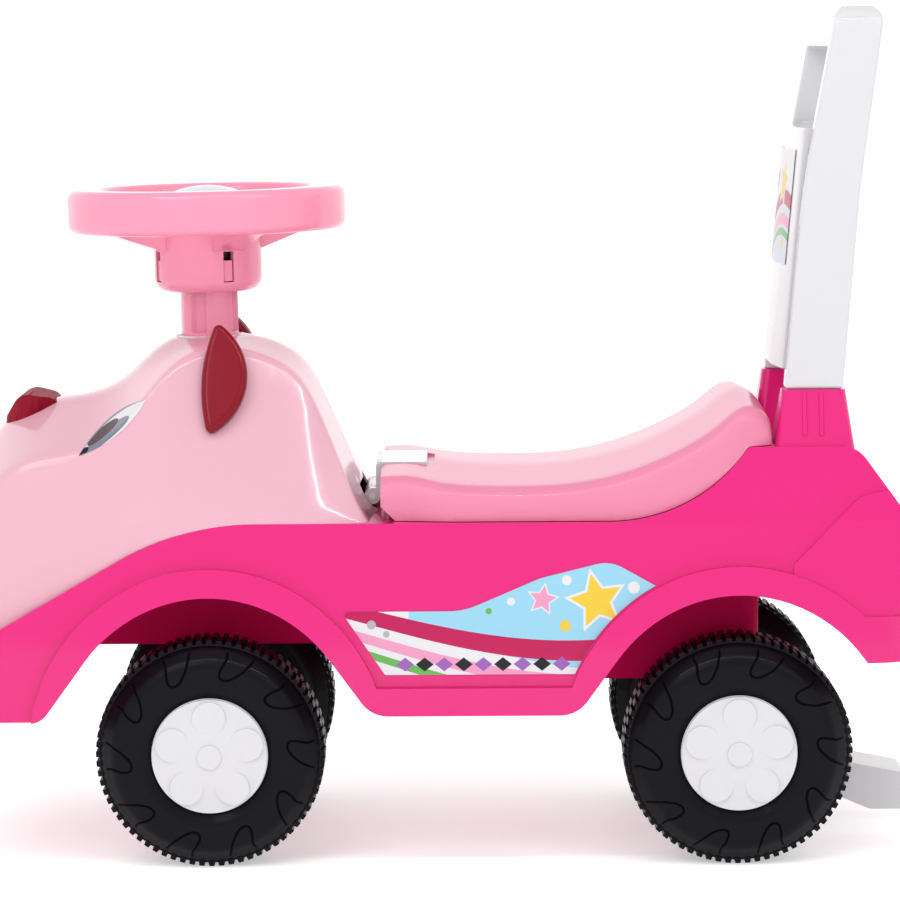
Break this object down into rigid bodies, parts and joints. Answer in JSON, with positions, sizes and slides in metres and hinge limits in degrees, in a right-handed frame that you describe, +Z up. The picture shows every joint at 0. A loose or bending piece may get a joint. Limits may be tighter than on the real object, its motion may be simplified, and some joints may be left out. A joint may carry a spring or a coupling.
{
  "type": "ride-on push car",
  "caption": "Toddler push car with an animal head bonnet, steered front wheels, tip-up seat over a storage tub and a backrest that doubles as the push handle.",
  "frame": {"origin": "on the floor under the middle of the car's length and width", "axes": "+Z up, +X towards the back, so the front faces -X; +Y to the car's right"},
  "size_m": [0.55, 0.226, 0.463],
  "materials": {
    "hot_pink": "glossy moulded plastic",
    "pale_pink": "glossy moulded plastic",
    "mid_pink": "glossy moulded plastic",
    "dark_red": "glossy moulded plastic",
    "white": "glossy moulded plastic",
    "tyre_black": "satin blow moulded plastic",
    "steel": "plain steel",
    "bulb": "soft rubber",
    "bush": "plain bearing plastic",
    "print": "printed film"
  },
  "bodies": {
    "chassis": {"body_shell": "hot_pink", "chassis_tray": "hot_pink", "tray_screws": "steel", "anti_tip_foot": "white", "anti_tip_screws": "steel", "head_shell": "pale_pink", "head_screws": "steel", "nose": "dark_red", "ear_left": "dark_red", "ear_right": "dark_red", "eye_left": "print", "eye_right": "print", "side_sticker_left": "print", "side_sticker_right": "print", "column_bush_lower": "bush", "column_bush_upper": "bush", "seat_hinge_pin": "steel", "backrest_frame": "white", "backrest_panel": "white", "backrest_sticker": "print", "rear_axle": "steel", "rear_axle_nuts": "steel", "rear_axle_spacers": "bush"},
    "steering": {"steering_wheel": "mid_pink", "squeaker_bulb": "bulb", "steering_column": "mid_pink", "steering_yoke": "bush", "column_screw": "steel", "front_axle": "steel", "front_axle_nuts": "steel", "front_axle_spacers": "bush"},
    "horn": {"horn_pad": "white"},
    "seat": {"seat": "mid_pink", "seat_hinge_plate": "white"},
    "front_left_wheel": {"front_left_tyre": "tyre_black", "front_left_wheel_rim": "white", "front_left_hub_cap": "white"},
    "front_right_wheel": {"front_right_tyre": "tyre_black", "front_right_wheel_rim": "white", "front_right_hub_cap": "white"},
    "rear_left_wheel": {"rear_left_tyre": "tyre_black", "rear_left_wheel_rim": "white", "rear_left_hub_cap": "white"},
    "rear_right_wheel": {"rear_right_tyre": "tyre_black", "rear_right_wheel_rim": "white", "rear_right_hub_cap": "white"}
  },
  "joints": [
    {"name": "steering_turn", "type": "hinge", "parent": "chassis", "child": "steering", "pos_m": [-0.118, 0, 0.062], "axis": [-0.0157, 0, 0.9999], "range_deg": [-20, 20]},
    {"name": "horn_press", "type": "slide", "parent": "steering", "child": "horn", "axis": [-0.0157, 0, 0.9999], "range_m": [-0.003, 0], "stiffness_N_per_m": 900, "deforming": ["squeaker_bulb"]},
    {"name": "seat_tip", "type": "hinge", "parent": "chassis", "child": "seat", "pos_m": [-0.0305, 0, 0.194], "axis": [0, -1, 0], "range_deg": [0, 35]},
    {"name": "front_left_roll", "type": "hinge", "parent": "steering", "child": "front_left_wheel", "pos_m": [-0.118, -0.082, 0.062], "axis": [0, 1, 0], "continuous": true},
    {"name": "front_right_roll", "type": "hinge", "parent": "steering", "child": "front_right_wheel", "pos_m": [-0.118, 0.082, 0.062], "axis": [0, 1, 0], "continuous": true},
    {"name": "rear_left_roll", "type": "hinge", "parent": "chassis", "child": "rear_left_wheel", "pos_m": [0.168, -0.082, 0.062], "axis": [0, 1, 0], "continuous": true},
    {"name": "rear_right_roll", "type": "hinge", "parent": "chassis", "child": "rear_right_wheel", "pos_m": [0.168, 0.082, 0.062], "axis": [0, 1, 0], "continuous": true}
  ]
}
